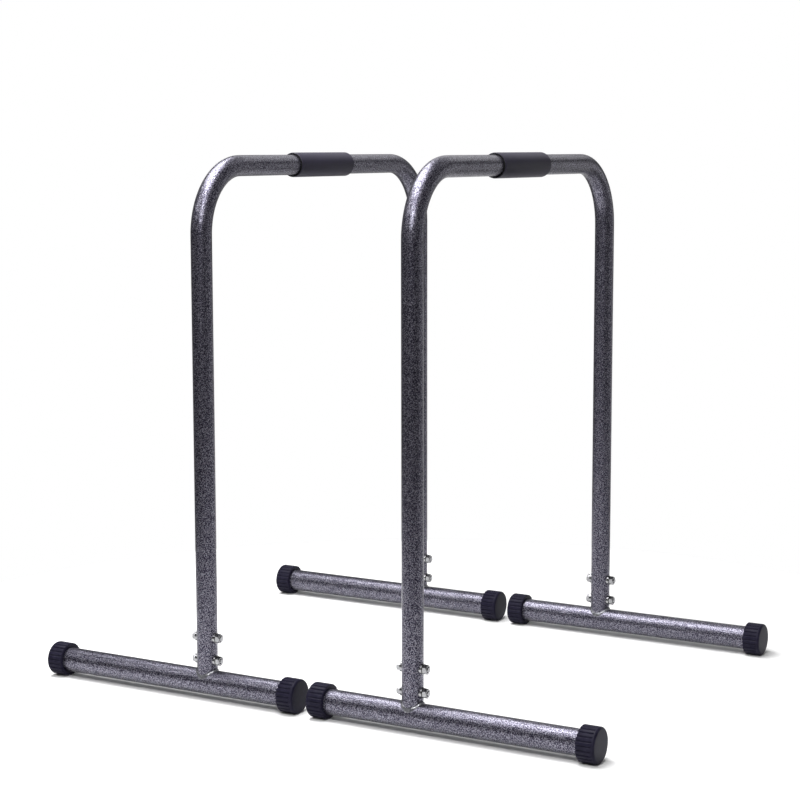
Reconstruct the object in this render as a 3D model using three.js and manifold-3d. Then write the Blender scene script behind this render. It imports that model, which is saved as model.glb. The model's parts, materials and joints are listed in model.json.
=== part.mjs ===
// Parallel bars for dips and push-ups: two separate free-standing stands.
// Millimetres. +X runs along the base tubes, +Y along the bars, +Z up.
// The origin is on the floor, midway between the two stands.

import * as THREE from "three";
import { mergeVertices } from "three/addons/utils/BufferGeometryUtils.js";
import Module from "manifold-3d";

// Layout of the pair
const BAR_SPACING = 360;
const POST_SPACING = 660;

// Bent tube that makes the two posts and the bar of one stand
const FRAME_RADIUS = 16;
const FRAME_WALL = 2;
const BAR_ABOVE_BASE = 783;
const BEND_RADIUS = 102;
const BEND_STEPS = 8;
const FRAME_SIDES = 20;

// Base tubes, measured from the post's axis to the outer faces of the end caps
const BASE_RADIUS = 19;
const BASE_WALL = 2;
const BASE_SIDES = 24;
const OUTER_ARM = 295;
const INNER_ARM = 168;

// Ribbed end caps that the stand rests on
const CAP_RADIUS = 26;
const CAP_LENGTH = 28;
const CAP_END_WALL = 5;
const CAP_BAND_LENGTH = 5;
const CAP_BAND_RADIUS = 25.8;
const CAP_BEVEL = 2.2;
const RIB_COUNT = 24;
const RIB_SHARE = 0.72;
const RIB_DEPTH = 1.3;

// Soft sleeve on the middle of the bar
const GRIP_RADIUS = 19.5;
const GRIP_LENGTH = 158;
const GRIP_EDGE = 1.6;

// Stub welded to the base tube, inside the foot of each post
const STUB_RADIUS = 13.7;
const STUB_WALL = 2;
const STUB_TOP = 96;
const STUB_START = 3;

// Weld bead around the stub, under the post's saddle-cut end
const BEAD_INNER_RADIUS = 14;
const BEAD_OUTER_RADIUS = 18.2;
const BEAD_HEIGHT = 3.2;
const BEAD_SHOULDER = 0.4;
const BEAD_SEGMENTS = 24;
const BEAD_FLOOR_STEPS = 3;
const POST_LIFT = 3.7;
const POST_START = 5;

// M8 cross bolts, two through each post
const BOLT_HEIGHTS = { lower: 35, upper: 70 };
const BOLT_RADIUS = 4;
const BOLT_TIP = 27;
const HOLE_RADIUS = 4.5;
const HEX_FLATS = 13;
const HEAD_HEIGHT = 5.3;
const NUT_HEIGHT = 6.8;
const WASHER_RADIUS = 8;
const WASHER_HOLE_RADIUS = 4.4;
const WASHER_FACE = 18.2;
const BOLT_SIDES = 12;
const WASHER_SIDES = 16;

// Clearance between neighbouring pieces
const GAP = 0.3;

// Length by which a cutting tool passes the faces it cuts
const OVERCUT = 10;
const CUTTER_SIDES = 32;

const FINISHES = {
  paint: { color: 0x45454f, roughness: 0.45, metalness: 0.6 },
  sleeve: { color: 0x17171a, roughness: 0.75, metalness: 0 },
  cap: { color: 0x1a1b20, roughness: 0.65, metalness: 0 },
  zinc: { color: 0xc9cbd0, roughness: 0.25, metalness: 1 },
};

const wasm = await Module();
wasm.setup();

// Solids and meshes

function weld(geometry) {
  geometry.deleteAttribute("normal");
  geometry.deleteAttribute("uv");
  const welded = mergeVertices(geometry, 1e-4);
  const kept = [];
  const index = welded.getIndex().array;
  for (let i = 0; i < index.length; i += 3) {
    const [a, b, c] = index.slice(i, i + 3);
    if (a !== b && b !== c && c !== a) {
      kept.push(a, b, c);
    }
  }
  welded.setIndex(kept);
  return welded;
}

function toSolid(geometry) {
  const welded = weld(geometry);
  const mesh = new wasm.Mesh({
    numProp: 3,
    vertProperties: new Float32Array(welded.getAttribute("position").array),
    triVerts: new Uint32Array(welded.getIndex().array),
  });
  return new wasm.Manifold(mesh);
}

function toGeometry(solid) {
  const mesh = solid.getMesh();
  const geometry = new THREE.BufferGeometry();
  geometry.setAttribute("position", new THREE.BufferAttribute(mesh.vertProperties, 3));
  geometry.setIndex(new THREE.BufferAttribute(mesh.triVerts, 1));
  return weld(geometry);
}

function addPiece(group, name, geometry, finish) {
  geometry.computeVertexNormals();
  const mesh = new THREE.Mesh(geometry, new THREE.MeshStandardMaterial(FINISHES[finish]));
  mesh.name = name;
  group.add(mesh);
}

// Outlines and prisms

function ring(sides, radius, turn = 0) {
  const points = [];
  for (let i = 0; i < sides; i += 1) {
    const angle = turn + (i / sides) * 2 * Math.PI;
    points.push(new THREE.Vector2(radius * Math.cos(angle), radius * Math.sin(angle)));
  }
  return points;
}

function outline(outer, inner = null) {
  const shape = new THREE.Shape(outer);
  if (inner) {
    shape.holes.push(new THREE.Path(inner));
  }
  return shape;
}

function prismAlongZ(shape, start, end) {
  const geometry = new THREE.ExtrudeGeometry(shape, { depth: end - start, bevelEnabled: false });
  return geometry.translate(0, 0, start);
}

function prismAlongX(shape, start, end) {
  return prismAlongZ(shape, start, end).rotateY(Math.PI / 2);
}

function latheAlongX(profile, segments) {
  const points = profile.map(([radius, x]) => new THREE.Vector2(radius, x));
  return new THREE.LatheGeometry(points, segments).rotateZ(-Math.PI / 2);
}

function latheAlongY(profile, segments) {
  const points = profile.map(([radius, y]) => new THREE.Vector2(radius, y));
  return new THREE.LatheGeometry(points, segments);
}

function latheAlongZ(profile, segments) {
  const points = profile.map(([radius, z]) => new THREE.Vector2(radius, z));
  return new THREE.LatheGeometry(points, segments).rotateX(Math.PI / 2);
}

// Path whose rings sit exactly at the given stations
class StationPath extends THREE.Curve {
  constructor(stations) {
    super();
    this.stations = stations;
  }

  station(t) {
    return this.stations[Math.round(t * (this.stations.length - 1))];
  }

  getPointAt(t) {
    return this.station(t).point.clone();
  }

  getTangentAt(t) {
    return this.station(t).tangent.clone();
  }
}

function bendStations(centreY, centreZ, startAngle) {
  const stations = [];
  for (let i = 0; i <= BEND_STEPS; i += 1) {
    const angle = startAngle - (i / BEND_STEPS) * (Math.PI / 2);
    const y = centreY + BEND_RADIUS * Math.cos(angle);
    const z = centreZ + BEND_RADIUS * Math.sin(angle);
    stations.push({
      point: new THREE.Vector3(0, y, z),
      tangent: new THREE.Vector3(0, Math.sin(angle), -Math.cos(angle)),
    });
  }
  return stations;
}

// Heights here are above the base tube's axis

function boltHoles() {
  const reach = FRAME_RADIUS + OVERCUT;
  return Object.values(BOLT_HEIGHTS).map((height) => {
    const tool = prismAlongX(outline(ring(BOLT_SIDES, HOLE_RADIUS)), -reach, reach);
    return toSolid(tool.translate(0, 0, height));
  });
}

function saddleTool(lift) {
  const reach = FRAME_RADIUS + OVERCUT;
  const tool = prismAlongX(outline(ring(CUTTER_SIDES, BASE_RADIUS + GAP)), -reach, reach);
  return toSolid(tool.translate(0, 0, lift));
}

function barFrame() {
  const half = POST_SPACING / 2;
  const bendZ = BAR_ABOVE_BASE - BEND_RADIUS;
  const up = new THREE.Vector3(0, 0, 1);
  const down = new THREE.Vector3(0, 0, -1);
  const path = new StationPath([
    { point: new THREE.Vector3(0, -half, POST_START), tangent: up },
    ...bendStations(-half + BEND_RADIUS, bendZ, Math.PI),
    ...bendStations(half - BEND_RADIUS, bendZ, Math.PI / 2),
    { point: new THREE.Vector3(0, half, POST_START), tangent: down },
  ]);
  const section = outline(
    ring(FRAME_SIDES, FRAME_RADIUS),
    ring(FRAME_SIDES, FRAME_RADIUS - FRAME_WALL),
  );
  const steps = path.stations.length - 1;
  let solid = toSolid(new THREE.ExtrudeGeometry(section, { steps, extrudePath: path }));
  for (const y of [-half, half]) {
    for (const tool of [...boltHoles(), saddleTool(POST_LIFT)]) {
      solid = solid.subtract(tool.translate([0, y, 0]));
    }
  }
  return toGeometry(solid);
}

function grip() {
  const half = GRIP_LENGTH / 2;
  const bore = FRAME_RADIUS + GAP;
  const profile = [
    [bore, -half],
    [GRIP_RADIUS - GRIP_EDGE, -half],
    [GRIP_RADIUS, -half + GRIP_EDGE],
    [GRIP_RADIUS, half - GRIP_EDGE],
    [GRIP_RADIUS - GRIP_EDGE, half],
    [bore, half],
    [bore, -half],
  ];
  return weld(latheAlongY(profile, BASE_SIDES));
}

function baseTube(outward) {
  const outerEnd = OUTER_ARM - CAP_END_WALL - GAP;
  const innerEnd = INNER_ARM - CAP_END_WALL - GAP;
  const [start, end] = outward < 0 ? [-outerEnd, innerEnd] : [-innerEnd, outerEnd];
  const section = outline(
    ring(BASE_SIDES, BASE_RADIUS),
    ring(BASE_SIDES, BASE_RADIUS - BASE_WALL),
  );
  return weld(prismAlongX(section, start, end));
}

function stub() {
  const section = outline(
    ring(FRAME_SIDES, STUB_RADIUS),
    ring(FRAME_SIDES, STUB_RADIUS - STUB_WALL),
  );
  let solid = toSolid(prismAlongZ(section, STUB_START, STUB_TOP));
  for (const tool of [...boltHoles(), saddleTool(0)]) {
    solid = solid.subtract(tool);
  }
  return toGeometry(solid);
}

function weldBead() {
  const floor = [];
  for (let i = 0; i <= BEAD_FLOOR_STEPS; i += 1) {
    const share = i / BEAD_FLOOR_STEPS;
    floor.push([BEAD_INNER_RADIUS + share * (BEAD_OUTER_RADIUS - BEAD_INNER_RADIUS), 0]);
  }
  const profile = [
    ...floor,
    [BEAD_OUTER_RADIUS, BEAD_SHOULDER],
    [FRAME_RADIUS + BEAD_SHOULDER, BEAD_HEIGHT],
    [BEAD_INNER_RADIUS, BEAD_HEIGHT],
    [BEAD_INNER_RADIUS, 0],
  ];
  const geometry = latheAlongZ(profile, BEAD_SEGMENTS);
  const position = geometry.getAttribute("position");
  for (let i = 0; i < position.count; i += 1) {
    const saddle = Math.sqrt((BASE_RADIUS + GAP) ** 2 - position.getY(i) ** 2);
    position.setZ(i, position.getZ(i) + saddle);
  }
  return weld(geometry);
}

function ribbedOutline() {
  const pitch = (2 * Math.PI) / RIB_COUNT;
  const halfRib = (pitch * RIB_SHARE) / 2;
  const crest = CAP_RADIUS / Math.cos(halfRib);
  const points = [];
  for (let i = 0; i < RIB_COUNT; i += 1) {
    const corners = [
      [crest, i * pitch - halfRib],
      [crest, i * pitch + halfRib],
      [CAP_RADIUS - RIB_DEPTH, (i + 0.5) * pitch],
    ];
    for (const [radius, angle] of corners) {
      points.push(new THREE.Vector2(radius * Math.cos(angle), radius * Math.sin(angle)));
    }
  }
  return outline(points);
}

// Open end at x = 0, closed end at x = CAP_LENGTH
function endCap() {
  const bandStart = CAP_LENGTH - CAP_BAND_LENGTH;
  const band = [
    [0, bandStart - CAP_BAND_LENGTH],
    [CAP_RADIUS - 2 * RIB_DEPTH, bandStart - CAP_BAND_LENGTH],
    [CAP_BAND_RADIUS, bandStart],
    [CAP_BAND_RADIUS, CAP_LENGTH - CAP_BEVEL],
    [CAP_BAND_RADIUS - CAP_BEVEL, CAP_LENGTH],
    [0, CAP_LENGTH],
  ];
  const bore = outline(ring(BASE_SIDES, BASE_RADIUS + GAP));
  const ribs = toSolid(prismAlongX(ribbedOutline(), 0, bandStart));
  const end = toSolid(latheAlongX(band, BASE_SIDES));
  const hollow = toSolid(prismAlongX(bore, -OVERCUT, CAP_LENGTH - CAP_END_WALL));
  return toGeometry(ribs.add(end).subtract(hollow));
}

function bolt() {
  const hexRadius = HEX_FLATS / 2 / Math.cos(Math.PI / 6);
  const headStart = WASHER_FACE + GAP;
  const head = prismAlongX(outline(ring(6, hexRadius)), -headStart - HEAD_HEIGHT, -headStart);
  const shank = prismAlongX(outline(ring(BOLT_SIDES, BOLT_RADIUS)), -headStart - 1, BOLT_TIP);
  return toGeometry(toSolid(head).add(toSolid(shank)));
}

function nut() {
  const hexRadius = HEX_FLATS / 2 / Math.cos(Math.PI / 6);
  const start = WASHER_FACE + GAP;
  const section = outline(ring(6, hexRadius), ring(BOLT_SIDES, WASHER_HOLE_RADIUS));
  return weld(prismAlongX(section, start, start + NUT_HEIGHT));
}

// Washer with a flat outer face and an inner face that fits the round post
function saddleWasher() {
  const section = outline(
    ring(WASHER_SIDES, WASHER_RADIUS),
    ring(BOLT_SIDES, WASHER_HOLE_RADIUS),
  );
  const blank = toSolid(prismAlongX(section, FRAME_RADIUS / 2, WASHER_FACE));
  const postRadius = (FRAME_RADIUS + GAP) / Math.cos(Math.PI / CUTTER_SIDES);
  const post = outline(ring(CUTTER_SIDES, postRadius));
  const reach = WASHER_RADIUS + OVERCUT;
  return blank.subtract(toSolid(prismAlongZ(post, -reach, reach)));
}

function addFasteners(group, post) {
  for (const [level, height] of Object.entries(BOLT_HEIGHTS)) {
    const washer = saddleWasher();
    const pieces = {
      bolt: bolt(),
      nut: nut(),
      nut_washer: toGeometry(washer),
      head_washer: toGeometry(washer.rotate([0, 0, 180])),
    };
    for (const [kind, geometry] of Object.entries(pieces)) {
      addPiece(group, `${post}_${level}_${kind}`, geometry.translate(0, 0, height), "zinc");
    }
  }
}

function addFoot(group, post, outward) {
  addPiece(group, `${post}_base_tube`, baseTube(outward), "paint");
  addPiece(group, `${post}_stub`, stub(), "paint");
  addPiece(group, `${post}_weld_bead`, weldBead(), "paint");
  const caps = { outer_cap: [OUTER_ARM, outward], inner_cap: [INNER_ARM, -outward] };
  for (const [kind, [arm, direction]] of Object.entries(caps)) {
    const cap = endCap().translate(arm - CAP_LENGTH, 0, 0);
    if (direction < 0) {
      cap.rotateZ(Math.PI);
    }
    addPiece(group, `${post}_${kind}`, cap, "cap");
  }
  addFasteners(group, post);
}

// Origin on the floor, below the middle of the bar; outward is the side of the long arms
function stand(name, outward) {
  const group = new THREE.Group();
  group.name = `${name}_stand`;
  const frame = new THREE.Group();
  frame.name = `${name}_upper`;
  frame.position.set(0, 0, CAP_RADIUS);
  addPiece(frame, `${name}_bar_frame`, barFrame(), "paint");
  addPiece(frame, `${name}_grip`, grip().translate(0, 0, BAR_ABOVE_BASE), "sleeve");
  group.add(frame);
  for (const [end, side] of Object.entries({ near: -1, far: 1 })) {
    const foot = new THREE.Group();
    foot.name = `${name}_${end}_foot`;
    foot.position.set(0, (side * POST_SPACING) / 2, CAP_RADIUS);
    addFoot(foot, `${name}_${end}`, outward);
    group.add(foot);
  }
  return group;
}

const bars = new THREE.Group();
bars.name = "parallel_bars";
for (const [name, outward] of Object.entries({ left: -1, right: 1 })) {
  const half = stand(name, outward);
  half.position.set((outward * BAR_SPACING) / 2, 0, 0);
  bars.add(half);
}

export default bars;
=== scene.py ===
"""Fine surfaces, finishes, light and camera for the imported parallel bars.

Metres, +Z up, in the CAD model's own frame. Each fine piece takes its place and outer size from the
box of the CAD node that it replaces.
"""

import json
import math

import bmesh
import bpy
from mathutils import Matrix, Vector


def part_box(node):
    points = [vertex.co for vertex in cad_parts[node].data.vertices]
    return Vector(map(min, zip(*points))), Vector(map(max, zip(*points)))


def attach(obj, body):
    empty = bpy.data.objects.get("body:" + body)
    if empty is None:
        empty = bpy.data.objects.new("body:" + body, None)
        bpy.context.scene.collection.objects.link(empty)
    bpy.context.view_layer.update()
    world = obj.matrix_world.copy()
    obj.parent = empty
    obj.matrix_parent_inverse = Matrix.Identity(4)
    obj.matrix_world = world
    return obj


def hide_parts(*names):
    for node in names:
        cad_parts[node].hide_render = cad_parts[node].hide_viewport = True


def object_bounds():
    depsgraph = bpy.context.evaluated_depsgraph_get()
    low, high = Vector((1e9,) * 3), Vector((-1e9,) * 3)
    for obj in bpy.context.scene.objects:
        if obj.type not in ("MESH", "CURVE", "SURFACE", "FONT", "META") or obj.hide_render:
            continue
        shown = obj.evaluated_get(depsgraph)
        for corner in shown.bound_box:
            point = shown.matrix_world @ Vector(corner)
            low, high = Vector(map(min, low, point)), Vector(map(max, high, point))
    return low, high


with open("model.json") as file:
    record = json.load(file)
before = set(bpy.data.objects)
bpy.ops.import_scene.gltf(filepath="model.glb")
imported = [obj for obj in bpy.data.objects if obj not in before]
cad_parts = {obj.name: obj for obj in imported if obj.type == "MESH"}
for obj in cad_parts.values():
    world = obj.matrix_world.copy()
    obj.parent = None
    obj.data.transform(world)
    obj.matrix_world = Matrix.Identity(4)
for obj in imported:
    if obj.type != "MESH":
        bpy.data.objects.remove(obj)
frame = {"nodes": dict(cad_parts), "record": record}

CAD_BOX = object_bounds()
MM = 0.001

# Bent tube of each stand
TUBE_WALL = 2 * MM
BEND_RADIUS = 102 * MM
BEND_STEPS = 28
TUBE_SIDES = 72
FOOT_LIFT = 3.9 * MM
FOOT_CHAMFER = 0.4 * MM
LEG_CLEAR = 80 * MM

# Clearance between a fine piece and the one that it sits on
SKIN_GAP = 0.05 * MM

# Steps in the rounding of an outer edge
FILLET_STEPS = 5

# Sleeve on the bar. Faces that turn by less than the angle from its axis are its ends
SLEEVE_EDGE = 1.5 * MM
SLEEVE_SIDES = 72
SLEEVE_END_ANGLE = math.radians(25)

# End caps
CAP_WALL = 5 * MM
RIB_COUNT = 24
RIB_SAMPLES = 12
RIB_DEPTH = 1.5 * MM
RIB_SHARE = 0.5
RIB_END = 4.6 * MM
CAP_EDGE = 3.6 * MM
CAP_EDGE_STEPS = 8
CAP_FACE_RING_SHARE = 0.5
CAP_LIP = 0.9 * MM
LIP_START = 0.3 * CAP_LIP
LIP_DROP = 0.4 * CAP_LIP

# How each groove fades out: distance past the ribs' end, in lips, and the share left of its depth
GROOVE_RUNOUT = ((-1, 1), (-0.4, 0.8), (0, 0.3), (0.5, 0))

# Weld beads
BEAD_INNER = 14 * MM
BEAD_OUTER = 17.6 * MM
BEAD_HEIGHT = 3.0 * MM
BEAD_STEPS = 9
BEAD_SAMPLES = 264
BEAD_RIPPLES = 44
BEAD_RIPPLE_SHARE = 0.09

# Bolts, nuts and washers
HEX_FLAT = 6.5 * MM
HEX_CORNER = HEX_FLAT / math.cos(math.pi / 6)
HEX_SAMPLES = 72
HEX_FACE_RADIUS = 6.1 * MM
HEX_FACE_RING = 0.9 * HEX_FACE_RADIUS
CHAMFER_ANGLE = math.radians(30)
CHAMFER_STEPS = 6
THREAD_RADIUS = 4 * MM
THREAD_TURNS = 5
THREAD_PITCH = 1.25 * MM
THREAD_DEPTH = 0.55 * MM
NUT_BORE = 4.1 * MM
NUT_COUNTERSINK = 0.6 * MM
WASHER_BORE = 4.3 * MM
WASHER_EDGE = 0.35 * MM
WASHER_SAMPLES = 48

# Edges that turn by more than this stay crisp
CRISP_ANGLE = math.radians(32)

# Camera, as a view of the middle of the pair
VIEW_AZIMUTH = math.radians(29.8)
VIEW_ELEVATION = math.radians(7.4)
VIEW_ROLL = math.radians(-0.1)
VIEW_DISTANCE = 3.111
VIEW_OFFSET = Vector((-0.0233, -0.0104, 0.0198))
VIEW_LENS = 87.2
SENSOR_WIDTH = 36

# Studio
FLOOR_RADIUS = 1.0
FLOOR_SIDES = 128
ROOM_GLOW = 0.14

# Softboxes: where each stands, where it points, its width and height, its watts
SOFTBOXES = {
    "overhead": ((-0.5, -0.3, 2.3), (-0.3, -0.1, 0), (2.2, 1.2), 97),
    "front_high": ((0.6, -2.0, 1.95), (0, -0.3, 0.7), (0.7, 0.7), 32),
    "front_left": ((-1.65, -1.8, 2.2), (0, -0.2, 0.1), (0.8, 0.8), 13),
    "back": ((-0.2, 2.3, 2.2), (0, 0, 0.8), (2.6, 1.0), 9),
    "back_right": ((1.5, 2.3, 0.6), (0.1, -0.1, 0.6), (1.0, 1.4), 4),
    "right": ((2.4, 0.8, 0.4), (0.1, 0, 0.4), (1.2, 1.8), 3.0),
    "back_low": ((-0.1, 1.8, 0.05), (0, 0, 0.8), (1.6, 0.9), 2.5),
}

# Each axis that pieces turn about, with the two directions across it
AXES = {
    "x": (Vector((1, 0, 0)), Vector((0, 1, 0)), Vector((0, 0, 1))),
    "y": (Vector((0, 1, 0)), Vector((0, 0, 1)), Vector((1, 0, 0))),
}


# Places read from the CAD model

def node_box(node):
    low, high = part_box(node)
    return Vector(low), Vector(high)


def node_centre(node):
    low, high = node_box(node)
    return (low + high) / 2


def stand_of(node):
    """The stand that a node belongs to, left or right."""
    return node.split("_")[0]


def foot_of(node):
    """The post's foot that a node belongs to, such as left_near."""
    return "_".join(node.split("_")[:2])


def base_tube_radius(foot):
    low, high = node_box(f"{foot}_base_tube")
    return (high.z - low.z) / 2


def saddle_height(foot, y):
    """Height of the base tube's surface at a distance y from its axis."""
    axis = node_centre(f"{foot}_base_tube").z
    radius = base_tube_radius(foot)
    return axis + math.sqrt(max(radius**2 - y**2, 0))


# Meshes made of rings of points

def skin(name, rings, closed=False):
    """A mesh of quads between neighbouring rings. A ring of one point is a pole."""
    bm = bmesh.new()
    rows = [[bm.verts.new(point) for point in ring] for ring in rings]
    pairs = list(zip(rows, rows[1:]))
    if closed:
        pairs.append((rows[-1], rows[0]))
    for first, second in pairs:
        count = max(len(first), len(second))
        for i in range(count):
            j = (i + 1) % count
            corners = [first[i % len(first)], first[j % len(first)]]
            corners += [second[j % len(second)], second[i % len(second)]]
            bm.faces.new(list(dict.fromkeys(corners)))
    bmesh.ops.recalc_face_normals(bm, faces=bm.faces)
    for face in bm.faces:
        face.smooth = True
    for edge in bm.edges:
        edge.smooth = edge.calc_face_angle(0) < CRISP_ANGLE
    mesh = bpy.data.meshes.new(name)
    bm.to_mesh(mesh)
    bm.free()
    return mesh


def turned(profile, centre, axis, sides, shape=None):
    """Rings about an axis. Each profile row is (radius, distance along the axis, ...)."""
    along, u, v = AXES[axis]
    rings = []
    for row in profile:
        radius, distance = row[:2]
        if radius == 0:
            rings.append([centre + along * distance])
            continue
        ring = []
        for i in range(sides):
            angle = 2 * math.pi * i / sides
            reach = shape(row, angle) if shape else radius
            ring.append(centre + along * distance + (u * math.cos(angle) + v * math.sin(angle)) * reach)
        rings.append(ring)
    return rings


def fillet(radius, distance, edge, outward, steps=FILLET_STEPS):
    """Profile rows that round an outer edge. outward is +1 at the far end and -1 at the near end."""
    rows = []
    for i in range(steps + 1):
        angle = math.pi / 2 * i / steps
        reach = radius - edge + edge * math.cos(angle)
        rows.append((reach, distance - outward * edge * (1 - math.sin(angle))))
    return rows if outward > 0 else rows[::-1]


# Pieces

def bar_frame(node):
    low, high = node_box(node)
    radius = (high.x - low.x) / 2
    middle_x = (low.x + high.x) / 2
    near_y, far_y = low.y + radius, high.y - radius
    bar_z = high.z - radius
    bend_z = bar_z - BEND_RADIUS
    foot = f"{stand_of(node)}_near"

    def foot_ring(post_y, reach, lift, side):
        ring = []
        for i in range(TUBE_SIDES):
            angle = 2 * math.pi * i / TUBE_SIDES
            offset = side * reach * math.sin(angle)
            height = saddle_height(foot, offset) + lift
            ring.append(Vector((middle_x + reach * math.cos(angle), post_y + offset, height)))
        return ring

    def ring_at(centre_y, centre_z, outward, reach):
        ring = []
        for i in range(TUBE_SIDES):
            angle = 2 * math.pi * i / TUBE_SIDES
            offset = outward * (reach * math.sin(angle))
            x = middle_x + reach * math.cos(angle)
            ring.append(Vector((x, centre_y + offset.y, centre_z + offset.z)))
        return ring

    def sweep(reach):
        leg_z = saddle_height(foot, 0) + LEG_CLEAR
        rings = [ring_at(near_y, leg_z, Vector((0, -1, 0)), reach)]
        bends = [(near_y + BEND_RADIUS, math.pi), (far_y - BEND_RADIUS, math.pi / 2)]
        for bend_y, start in bends:
            for i in range(BEND_STEPS + 1):
                angle = start - math.pi / 2 * i / BEND_STEPS
                outward = Vector((0, math.cos(angle), math.sin(angle)))
                centre = outward * BEND_RADIUS
                rings.append(ring_at(bend_y + centre.y, bend_z + centre.z, outward, reach))
        rings.append(ring_at(far_y, leg_z, Vector((0, 1, 0)), reach))
        return rings

    def end(post_y, side):
        return [
            foot_ring(post_y, radius - TUBE_WALL, FOOT_LIFT, side),
            foot_ring(post_y, radius - FOOT_CHAMFER, FOOT_LIFT, side),
            foot_ring(post_y, radius, FOOT_LIFT + FOOT_CHAMFER, side),
        ]

    outer = end(near_y, -1) + sweep(radius) + end(far_y, 1)[::-1]
    inner = sweep(radius - TUBE_WALL)[::-1]
    return skin(node, outer + inner, closed=True)


def grip(node):
    """Sleeve around the bar. Its first material slot is for the outside and its second for the two ends,
    which are painted near-black as painted shade of a gap at each end.
    """
    low, high = node_box(node)
    radius = (high.z - low.z) / 2
    half = (high.y - low.y) / 2
    tube_low, tube_high = node_box(node.replace("grip", "bar_frame"))
    bore = (tube_high.x - tube_low.x) / 2 + SKIN_GAP
    profile = [(bore, -half)]
    profile += fillet(radius, -half, SLEEVE_EDGE, -1)
    profile += fillet(radius, half, SLEEVE_EDGE, 1)
    profile += [(bore, half)]
    mesh = skin(node, turned(profile, (low + high) / 2, "y", SLEEVE_SIDES), closed=True)
    mesh.materials.append(None)
    mesh.materials.append(None)
    for face in mesh.polygons:
        face.material_index = int(abs(face.normal.y) > math.cos(SLEEVE_END_ANGLE))
    return mesh


def base_tube(node):
    low, high = node_box(node)
    radius = (high.z - low.z) / 2
    half = (high.x - low.x) / 2
    profile = [(radius, -half), (radius, half), (radius - TUBE_WALL, half), (radius - TUBE_WALL, -half)]
    return skin(node, turned(profile, (low + high) / 2, "x", TUBE_SIDES), closed=True)


def rib_shape(row, angle):
    """Radius of a cap's side: flat-topped ribs with rounded grooves, a rib at every full pitch."""
    radius, _, depth = row
    pitch = 2 * math.pi / RIB_COUNT
    phase = abs((angle / pitch + 0.5) % 1 - 0.5) * 2
    fall = max(phase - RIB_SHARE, 0) / (1 - RIB_SHARE)
    return radius - depth * math.sin(fall * math.pi / 2) ** 2


def end_cap(node):
    """Ribbed cup on a tube's end. Each profile row is (radius, distance from the open end, groove depth)."""
    low, high = node_box(node)
    centre = (low + high) / 2
    radius = (high.z - low.z) / 2
    length = high.x - low.x
    bore = base_tube_radius(foot_of(node)) + SKIN_GAP
    outward = 1 if centre.x > node_centre(f"{foot_of(node)}_base_tube").x else -1
    profile = [(0, length - CAP_WALL, 0), (bore, length - CAP_WALL, 0), (bore, CAP_LIP, 0)]
    profile += [(bore + CAP_LIP, 0, 0), (radius - RIB_DEPTH - CAP_LIP, 0, 0)]
    profile += [(radius - LIP_DROP, LIP_START, RIB_DEPTH), (radius, CAP_LIP, RIB_DEPTH)]
    rib_end = length - RIB_END
    profile += [(radius, rib_end + lips * CAP_LIP, share * RIB_DEPTH) for lips, share in GROOVE_RUNOUT]
    profile += [row + (0,) for row in fillet(radius, length, CAP_EDGE, 1, CAP_EDGE_STEPS)]
    profile += [(radius * CAP_FACE_RING_SHARE, length, 0), (0, length, 0)]
    start = Vector((centre.x - outward * length / 2, centre.y, centre.z))
    rows = [(row[0], outward * row[1], row[2]) for row in profile]
    rings = turned(rows, start, "x", RIB_COUNT * RIB_SAMPLES, rib_shape)
    return skin(node, rings)


def weld_bead(node):
    """Rippled quarter-round ring on the base tube, under the post's foot and a little wider than it."""
    foot = foot_of(node)
    centre = node_centre(node)
    rings = []
    for i in range(BEAD_STEPS):
        share = i / (BEAD_STEPS - 1)
        ring = []
        for j in range(BEAD_SAMPLES):
            angle = 2 * math.pi * j / BEAD_SAMPLES
            ripple = 1 - BEAD_RIPPLE_SHARE * math.cos(angle * BEAD_RIPPLES / 2) ** 2
            reach = BEAD_INNER + (BEAD_OUTER - BEAD_INNER) * math.sin(share * math.pi / 2) * ripple
            lift = BEAD_HEIGHT * math.cos(share * math.pi / 2) * ripple
            y = reach * math.sin(angle)
            height = saddle_height(foot, y) + lift
            ring.append(Vector((centre.x + reach * math.cos(angle), centre.y + y, height)))
        rings.append(ring)
    floor = []
    for j in range(BEAD_SAMPLES):
        angle = 2 * math.pi * j / BEAD_SAMPLES
        y = BEAD_INNER * math.sin(angle)
        height = saddle_height(foot, y)
        floor.append(Vector((centre.x + BEAD_INNER * math.cos(angle), centre.y + y, height)))
    return skin(node, rings + [floor], closed=True)


def hex_shape(row, angle):
    """The smaller of the row's radius and the hexagon's, so that cone rows chamfer the corners."""
    turn = (angle + math.pi / 6) % (math.pi / 3) - math.pi / 6
    return min(row[0], HEX_FLAT / math.cos(turn))


def chamfer_rows(face, inward):
    """Rows of the cone that cuts the hexagon's corners back at a face."""
    rows = []
    for i in range(CHAMFER_STEPS + 1):
        radius = HEX_FACE_RADIUS + (HEX_CORNER - HEX_FACE_RADIUS) * i / CHAMFER_STEPS
        depth = (radius - HEX_FACE_RADIUS) * math.tan(CHAMFER_ANGLE)
        rows.append((radius, face + inward * depth))
    return rows


def thread_rows(start, end):
    """Rows of a plain shank that turns into thread ridges and ends in a small chamfer."""
    rows = [(THREAD_RADIUS, start)]
    x = end - THREAD_TURNS * THREAD_PITCH
    while x < end - THREAD_PITCH:
        rows.append((THREAD_RADIUS, x))
        rows.append((THREAD_RADIUS - THREAD_DEPTH, x + THREAD_PITCH / 2))
        x += THREAD_PITCH
    rows.append((THREAD_RADIUS, x))
    rows.append((THREAD_RADIUS, end - THREAD_DEPTH))
    rows.append((THREAD_RADIUS - THREAD_DEPTH, end))
    return rows


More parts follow.
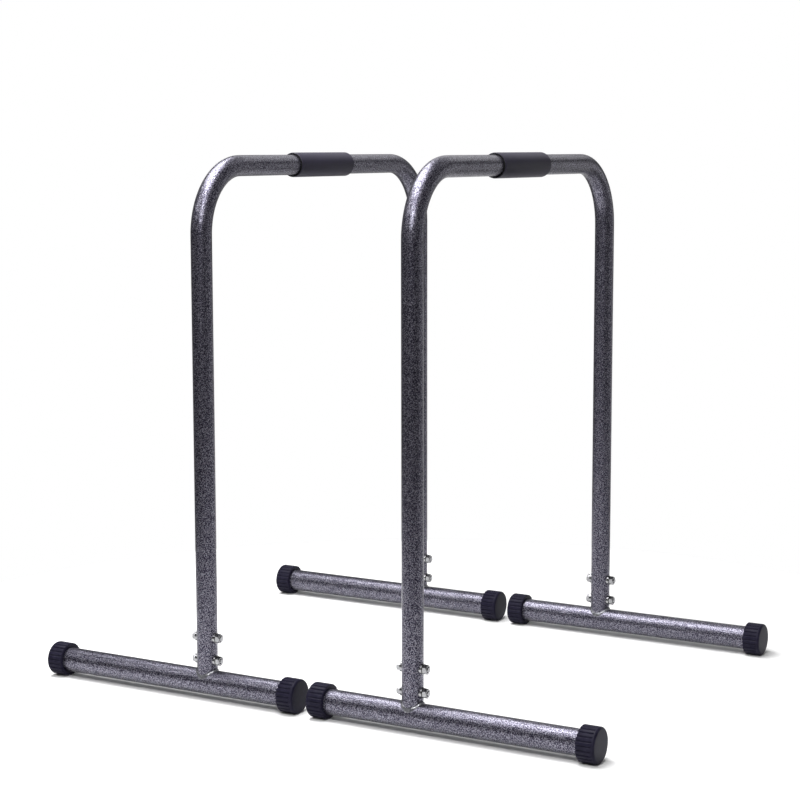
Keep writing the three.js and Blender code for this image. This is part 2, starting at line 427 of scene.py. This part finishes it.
def bolt(node):
    low, high = node_box(node)
    centre = (low + high) / 2
    start = Vector((low.x, centre.y, centre.z))
    washer_low, _ = node_box(node.replace("_bolt", "_head_washer"))
    head = washer_low.x - low.x
    profile = [(0, 0), (HEX_FACE_RING, 0)]
    profile += chamfer_rows(0, 1)
    profile += [(HEX_CORNER, head - SKIN_GAP), (THREAD_RADIUS, head - SKIN_GAP)]
    profile += thread_rows(head, high.x - low.x)
    profile += [(0, high.x - low.x)]
    return skin(node, turned(profile, start, "x", HEX_SAMPLES, hex_shape))


def nut(node):
    low, high = node_box(node)
    centre = (low + high) / 2
    start = Vector((low.x, centre.y, centre.z))
    height = high.x - low.x
    profile = chamfer_rows(0, 1) + chamfer_rows(height, -1)[::-1]
    profile += [(NUT_BORE + NUT_COUNTERSINK, height), (NUT_BORE, height - NUT_COUNTERSINK)]
    profile += [(NUT_BORE, NUT_COUNTERSINK), (NUT_BORE + NUT_COUNTERSINK, 0)]
    return skin(node, turned(profile, start, "x", HEX_SAMPLES, hex_shape), closed=True)


def saddle_washer(node):
    """Round washer with a flat outer face, whose inner face follows the round post."""
    low, high = node_box(node)
    centre = (low + high) / 2
    frame_low, frame_high = node_box(f"{stand_of(node)}_bar_frame")
    post_x = (frame_low.x + frame_high.x) / 2
    post_radius = (frame_high.x - frame_low.x) / 2 + SKIN_GAP
    side = 1 if centre.x > post_x else -1
    face = max(abs(high.x - post_x), abs(low.x - post_x))
    radius = (high.z - low.z) / 2
    profile = [(WASHER_BORE, face), (radius - WASHER_EDGE, face), (radius, face - WASHER_EDGE)]
    profile += [(radius, None), (WASHER_BORE, None)]
    rings = []
    for reach, distance in profile:
        ring = []
        for i in range(WASHER_SAMPLES):
            angle = 2 * math.pi * i / WASHER_SAMPLES
            y = reach * math.cos(angle)
            x = distance if distance else math.sqrt(post_radius**2 - y**2)
            ring.append(Vector((post_x + side * x, centre.y + y, centre.z + reach * math.sin(angle))))
        rings.append(ring)
    return skin(node, rings, closed=True)


# Finishes

class Finish:
    """A node material with short calls for the nodes that the finishes share. Noise scales are per metre."""

    def __init__(self, name):
        self.material = bpy.data.materials.new(name)
        self.material.use_nodes = True
        self.tree = self.material.node_tree
        self.shader = self.tree.nodes["Principled BSDF"]
        self.place = self.add("ShaderNodeTexCoord").outputs["Object"]

    def add(self, kind, **inputs):
        node = self.tree.nodes.new(kind)
        for name, value in inputs.items():
            self.feed(node.inputs[name.replace("_", " ")], value)
        return node

    def feed(self, socket, value):
        if isinstance(value, bpy.types.NodeSocket):
            self.tree.links.new(value, socket)
        else:
            socket.default_value = value

    def noise(self, scale, detail=2.0, roughness=0.5):
        node = self.add("ShaderNodeTexNoise", Scale=scale, Detail=detail, Roughness=roughness)
        self.feed(node.inputs["Vector"], self.place)
        return node.outputs["Fac"]

    def ramp(self, value, *stops):
        node = self.add("ShaderNodeValToRGB", Fac=value)
        elements = node.color_ramp.elements
        while len(elements) < len(stops):
            elements.new(0.5)
        for element, (position, colour) in zip(elements, stops):
            element.position = position
            element.color = (*colour, 1)
        return node.outputs["Color"]

    def spread(self, value, low, high):
        node = self.add("ShaderNodeMapRange", Value=value)
        node.inputs["To Min"].default_value = low
        node.inputs["To Max"].default_value = high
        return node.outputs["Result"]

    def math(self, operation, first, second):
        node = self.add("ShaderNodeMath")
        node.operation = operation
        self.feed(node.inputs[0], first)
        self.feed(node.inputs[1], second)
        return node.outputs["Value"]

    def bump(self, height, distance, strength):
        node = self.add("ShaderNodeBump", Height=height, Distance=distance, Strength=strength)
        return node.outputs["Normal"]

    def set(self, **inputs):
        for name, value in inputs.items():
            self.feed(self.shader.inputs[name.replace("_", " ")], value)
        return self.material


def hammertone_paint():
    """Dark violet-grey hammer finish: small crisp dimples with paler metal flake on their crests."""
    finish = Finish("hammertone_paint")
    dimples = finish.noise(690.0, detail=1.0)
    flake = finish.noise(850.0, detail=1.0)
    wear = finish.noise(20.0, detail=3.0)
    tone = finish.math("ADD", finish.math("MULTIPLY", dimples, 0.5), finish.math("MULTIPLY", flake, 0.5))
    colour = finish.ramp(
        tone,
        (0.43, (0.014, 0.012, 0.025)),
        (0.50, (0.055, 0.050, 0.078)),
        (0.57, (0.262, 0.255, 0.306)),
    )
    return finish.set(
        Base_Color=colour,
        Metallic=0.85,
        Roughness=finish.spread(wear, 0.27, 0.33),
        Normal=finish.bump(dimples, distance=0.9 * MM, strength=0.5),
        Coat_Weight=0.15,
        Coat_Roughness=0.15,
    )


def sleeve_rubber(name, base, lift, roughness):
    """Satin black moulded sleeve with a very fine grain and faint rub marks. The near-black copy made for the
    sleeve's ends is painted shade.
    """
    finish = Finish(name)
    grain = finish.noise(2600.0, detail=2.0)
    rubbed = finish.noise(38.0, detail=4.0, roughness=0.65)
    colour = finish.ramp(rubbed, (0.35, base), (0.7, lift))
    return finish.set(
        Base_Color=colour,
        Roughness=finish.spread(rubbed, roughness - 0.06, roughness + 0.08),
        Normal=finish.bump(grain, distance=0.1 * MM, strength=0.25),
        Specular_IOR_Level=0.20,
    )


def cap_rubber():
    """Near-black moulded rubber, slightly violet, with a fine mould grain and scuffs."""
    finish = Finish("cap_rubber")
    grain = finish.noise(1900.0, detail=3.0)
    scuffs = finish.noise(120.0, detail=5.0, roughness=0.7)
    colour = finish.ramp(scuffs, (0.35, (0.009, 0.008, 0.018)), (0.7, (0.017, 0.0155, 0.029)))
    return finish.set(
        Base_Color=colour,
        Roughness=finish.spread(scuffs, 0.34, 0.50),
        Normal=finish.bump(grain, distance=0.12 * MM, strength=0.3),
        Specular_IOR_Level=0.06,
    )


def zinc_plate():
    """Dull zinc plating with faint tumbling marks."""
    finish = Finish("zinc_plate")
    cloud = finish.noise(420.0, detail=4.0, roughness=0.6)
    marks = finish.noise(2400.0, detail=2.0)
    colour = finish.ramp(cloud, (0.3, (0.24, 0.24, 0.25)), (0.7, (0.38, 0.38, 0.39)))
    return finish.set(
        Base_Color=colour,
        Metallic=1.0,
        Roughness=finish.spread(cloud, 0.16, 0.30),
        Normal=finish.bump(marks, distance=0.05 * MM, strength=0.3),
    )


def bead_paint():
    """Thin glossy paint over a smooth weld bead. Its colour is paler than the hammer finish around it: a
    painted highlight along the weld.
    """
    finish = Finish("bead_paint")
    cloud = finish.noise(300.0, detail=3.0)
    colour = finish.ramp(cloud, (0.35, (0.12, 0.12, 0.14)), (0.65, (0.32, 0.32, 0.34)))
    return finish.set(
        Base_Color=colour,
        Metallic=0.7,
        Roughness=finish.spread(cloud, 0.18, 0.30),
        Normal=finish.bump(cloud, distance=0.3 * MM, strength=0.4),
    )


def floor_paint():
    """Plain pale floor."""
    finish = Finish("pale_floor")
    cloud = finish.noise(3.0, detail=3.0)
    colour = finish.ramp(cloud, (0.3, (0.86, 0.86, 0.86)), (0.7, (0.89, 0.89, 0.89)))
    return finish.set(Base_Color=colour, Roughness=0.75)


# Scene

BUILDERS = {
    "bar_frame": bar_frame,
    "grip": grip,
    "base_tube": base_tube,
    "weld_bead": weld_bead,
    "outer_cap": end_cap,
    "inner_cap": end_cap,
    "bolt": bolt,
    "nut": nut,
    "nut_washer": saddle_washer,
    "head_washer": saddle_washer,
}


def builder_for(node):
    endings = [ending for ending in BUILDERS if node.endswith(f"_{ending}")]
    return BUILDERS[max(endings, key=len)] if endings else None


def dress_object(finishes, sleeve_end_painted_shade, bead):
    """Puts a fine piece in each node's place. A node without a builder keeps its mesh and gets its finish."""
    slots = {part["node"]: part["material_slot"] for part in frame["record"]["subparts"]}
    bodies = frame["record"]["behaviour"]["bodies"]
    for body, nodes in bodies.items():
        for node in nodes:
            finish = finishes[slots[node]]
            build = builder_for(node)
            if build is None:
                for slot in frame["nodes"][node].material_slots:
                    slot.material = finish
                continue
            mesh = build(node)
            # A sleeve's second slot takes the near-black painted shade for its ends; a weld bead takes the
            # paler paint that is a painted highlight.
            if mesh.materials:
                mesh.materials[0] = finish
                mesh.materials[1] = sleeve_end_painted_shade
            else:
                mesh.materials.append(bead if build is weld_bead else finish)
            piece = bpy.data.objects.new(f"{node}_fine", mesh)
            bpy.context.collection.objects.link(piece)
            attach(piece, body)
            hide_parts(node)


def add_floor():
    bm = bmesh.new()
    bmesh.ops.create_circle(bm, cap_ends=True, radius=FLOOR_RADIUS, segments=FLOOR_SIDES)
    mesh = bpy.data.meshes.new("floor")
    bm.to_mesh(mesh)
    bm.free()
    mesh.materials.append(floor_paint())
    floor = bpy.data.objects.new("floor", mesh)
    floor.location.z = CAD_BOX[0][2]
    bpy.context.collection.objects.link(floor)


def look_at(obj, place, target, roll=0.0):
    turn = (target - place).to_track_quat("-Z", "Y").to_matrix().to_4x4()
    obj.matrix_world = Matrix.Translation(place) @ turn @ Matrix.Rotation(roll, 4, "Z")


def add_softboxes():
    """Rectangular lamps that light the object and are not seen themselves."""
    for name, (place, target, size, power) in SOFTBOXES.items():
        light = bpy.data.lights.new(name, "AREA")
        light.shape = "RECTANGLE"
        light.size, light.size_y = size
        light.energy = power
        lamp = bpy.data.objects.new(name, light)
        lamp.visible_camera = False
        bpy.context.collection.objects.link(lamp)
        look_at(lamp, Vector(place), Vector(target))


def add_world():
    """Plain white behind everything. The light and reflections come from a dimmer room."""
    world = bpy.data.worlds.new("studio")
    world.use_nodes = True
    tree = world.node_tree
    room = tree.nodes["Background"]
    room.inputs["Color"].default_value = (1, 1, 1, 1)
    room.inputs["Strength"].default_value = ROOM_GLOW
    white = tree.nodes.new("ShaderNodeBackground")
    white.inputs["Color"].default_value = (1, 1, 1, 1)
    seen = tree.nodes.new("ShaderNodeLightPath")
    mix = tree.nodes.new("ShaderNodeMixShader")
    tree.links.new(seen.outputs["Is Camera Ray"], mix.inputs["Fac"])
    tree.links.new(room.outputs["Background"], mix.inputs[1])
    tree.links.new(white.outputs["Background"], mix.inputs[2])
    tree.links.new(mix.outputs["Shader"], tree.nodes["World Output"].inputs["Surface"])
    bpy.context.scene.world = world


def add_camera(middle):
    data = bpy.data.cameras.new("camera")
    data.sensor_width = SENSOR_WIDTH
    data.lens = VIEW_LENS
    camera = bpy.data.objects.new("camera", data)
    bpy.context.collection.objects.link(camera)
    target = middle + VIEW_OFFSET
    back = Vector((
        math.sin(VIEW_AZIMUTH) * math.cos(VIEW_ELEVATION),
        -math.cos(VIEW_AZIMUTH) * math.cos(VIEW_ELEVATION),
        math.sin(VIEW_ELEVATION),
    ))
    look_at(camera, target + back * VIEW_DISTANCE, target, VIEW_ROLL)
    bpy.context.scene.camera = camera


low_corner, high_corner = (Vector(corner) for corner in CAD_BOX)
middle = (low_corner + high_corner) / 2

dress_object(
    {
        "frame_paint": hammertone_paint(),
        "grip_rubber": sleeve_rubber("grip_rubber", (0.018, 0.016, 0.029), (0.024, 0.021, 0.038), 0.46),
        "cap_rubber": cap_rubber(),
        "hardware_zinc": zinc_plate(),
    },
    # The sleeve's ends are near-black: painted shade standing in for the dark gap at each end of the sleeve.
    sleeve_rubber("sleeve_end_painted_shade", (0.002, 0.002, 0.003), (0.004, 0.004, 0.005), 0.85),
    # The weld beads' paler paint is a painted highlight along the weld.
    bead_paint(),
)
add_floor()
add_world()
add_softboxes()
add_camera(middle)
bpy.context.scene.view_settings.view_transform = "Standard"
